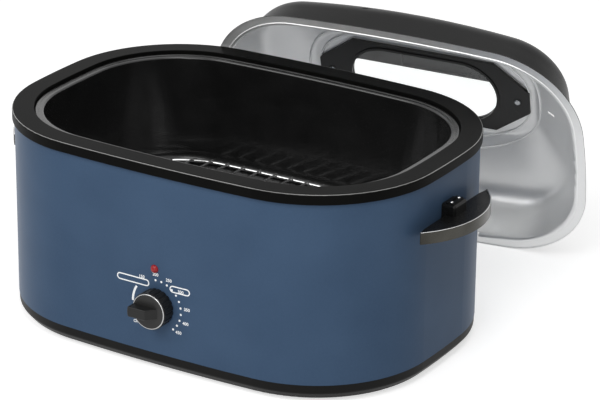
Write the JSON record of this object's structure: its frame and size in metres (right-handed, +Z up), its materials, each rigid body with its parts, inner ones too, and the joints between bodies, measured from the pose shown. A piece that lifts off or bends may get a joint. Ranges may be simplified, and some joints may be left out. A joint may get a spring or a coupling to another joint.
{
  "type": "electric roaster oven",
  "caption": "Oval countertop roaster oven with a blue body, lift-out pan and rack, a turning heat knob, side handles, and a windowed lid stood behind it.",
  "frame": {"origin": "on the counter, under the middle of the whole set, 106.2 mm behind the middle of the oval body, in the plane of the four feet", "axes": "+Z up, +X to the right as the user faces the knob, -Y towards the user; the lid stands behind the body on the +Y side"},
  "size_m": [0.6446, 0.6706, 0.3256],
  "materials": {
    "blue_paint": "satin",
    "black_enamel": "satin",
    "rim_black": "satin",
    "base_black": "satin",
    "foot_rubber": "matte",
    "galvanised_steel": "satin",
    "heater_steel": "satin",
    "fibre_blanket": "matte",
    "thermostat_moulding": "matte",
    "zinc_steel": "satin",
    "copper_tube": "satin",
    "red_lens": "gloss",
    "white_moulding": "matte",
    "block_ceramic": "matte",
    "bushing_black": "matte",
    "handle_black": "satin",
    "handle_trim_metal": "satin",
    "knob_black": "satin",
    "shaft_steel": "satin",
    "rack_chrome": "gloss",
    "lid_aluminium": "satin",
    "frame_black": "satin",
    "window_glass": "gloss",
    "gasket_silicone": "matte",
    "grip_black": "satin"
  },
  "bodies": {
    "oven": {"outer_wrap": "blue_paint", "base_tray": "base_black", "feet": "foot_rubber", "top_collar": "rim_black", "heating_well": "galvanised_steel", "heating_band": "heater_steel", "insulation_blanket": "fibre_blanket", "well_posts": "zinc_steel", "tray_screws": "zinc_steel", "thermostat": "thermostat_moulding", "thermostat_screws": "zinc_steel", "sensing_bulb": "copper_tube", "bulb_clips": "zinc_steel", "capillary_tube": "copper_tube", "indicator_lens": "red_lens", "lamp_holder": "white_moulding", "terminal_block": "block_ceramic", "cord_bushing": "bushing_black", "right_handle": "handle_black", "left_handle": "handle_black", "right_handle_trim": "handle_trim_metal", "left_handle_trim": "handle_trim_metal", "handle_back_plates": "zinc_steel", "handle_screws": "zinc_steel"},
    "knob": {"control_knob": "knob_black", "knob_shaft": "shaft_steel"},
    "pan": {"roasting_pan": "black_enamel"},
    "rack": {"wire_rack": "rack_chrome"},
    "lid": {"lid_shell": "lid_aluminium", "window_inner_frame": "frame_black", "window_outer_frame": "frame_black", "window_glass": "window_glass", "window_gasket": "gasket_silicone", "lid_grip": "grip_black", "lid_screws": "zinc_steel"}
  },
  "joints": [
    {"name": "knob_turn", "type": "hinge", "parent": "oven", "child": "knob", "pos_m": [0.004, -0.30357, 0.084], "axis": [0, 1, 0], "range_deg": [-42, 228]},
    {"name": "pan_lift", "type": "slide", "parent": "oven", "child": "pan", "axis": [0, 0, 1], "range_m": [0, 0.17]},
    {"name": "rack_lift", "type": "slide", "parent": "pan", "child": "rack", "axis": [0, 0, 1], "range_m": [0, 0.17]},
    {"name": "lid_lift", "type": "slide", "parent": "oven", "child": "lid", "axis": [0, 0, 1], "range_m": [0, 0.3]}
  ]
}
